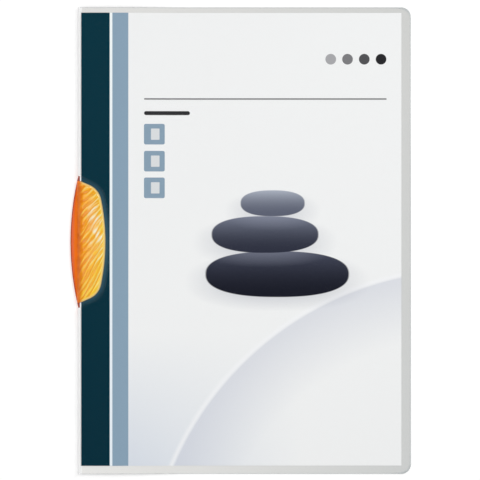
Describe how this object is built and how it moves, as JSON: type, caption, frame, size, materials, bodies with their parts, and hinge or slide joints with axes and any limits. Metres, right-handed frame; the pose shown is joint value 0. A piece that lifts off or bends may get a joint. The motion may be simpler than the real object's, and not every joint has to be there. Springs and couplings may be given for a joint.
{
  "type": "clip folder",
  "caption": "Clip folder with a clear front cover, frosted back, printed sheet inside and a rippled translucent clip that swings out from the fold.",
  "frame": {"origin": "middle of the folder's plan at the surface it lies on", "axes": "+X across the front cover from the fold to the free edge, +Y up the page, +Z out of the front cover"},
  "size_m": [0.2232, 0.306, 0.0069],
  "materials": {
    "frosted_film": "frosted polypropylene film, satin",
    "clear_film": "clear polypropylene film, glossy",
    "printed_paper": "smooth printed paper with two stripes along the fold",
    "clip_plastic": "moulded translucent orange plastic, glossy, rippled on the lobe",
    "rivet_plastic": "white moulded plastic"
  },
  "bodies": {
    "folder": {"back_cover": "frosted_film", "title_insert": "printed_paper", "pivot_rivet": "rivet_plastic"},
    "cover": {"front_cover": "clear_film"},
    "clip": {"swing_clip": "clip_plastic"}
  },
  "joints": [
    {"name": "front_cover_opening", "type": "hinge", "parent": "folder", "child": "cover", "pos_m": [-0.1054, 0, 0.0049], "axis": [0, -1, 0], "range_deg": [0, 155]},
    {"name": "clip_swing", "type": "hinge", "parent": "folder", "child": "clip", "pos_m": [-0.0975, 0.049, 0.001], "axis": [0, 0, -1], "range_deg": [0, 90]}
  ]
}
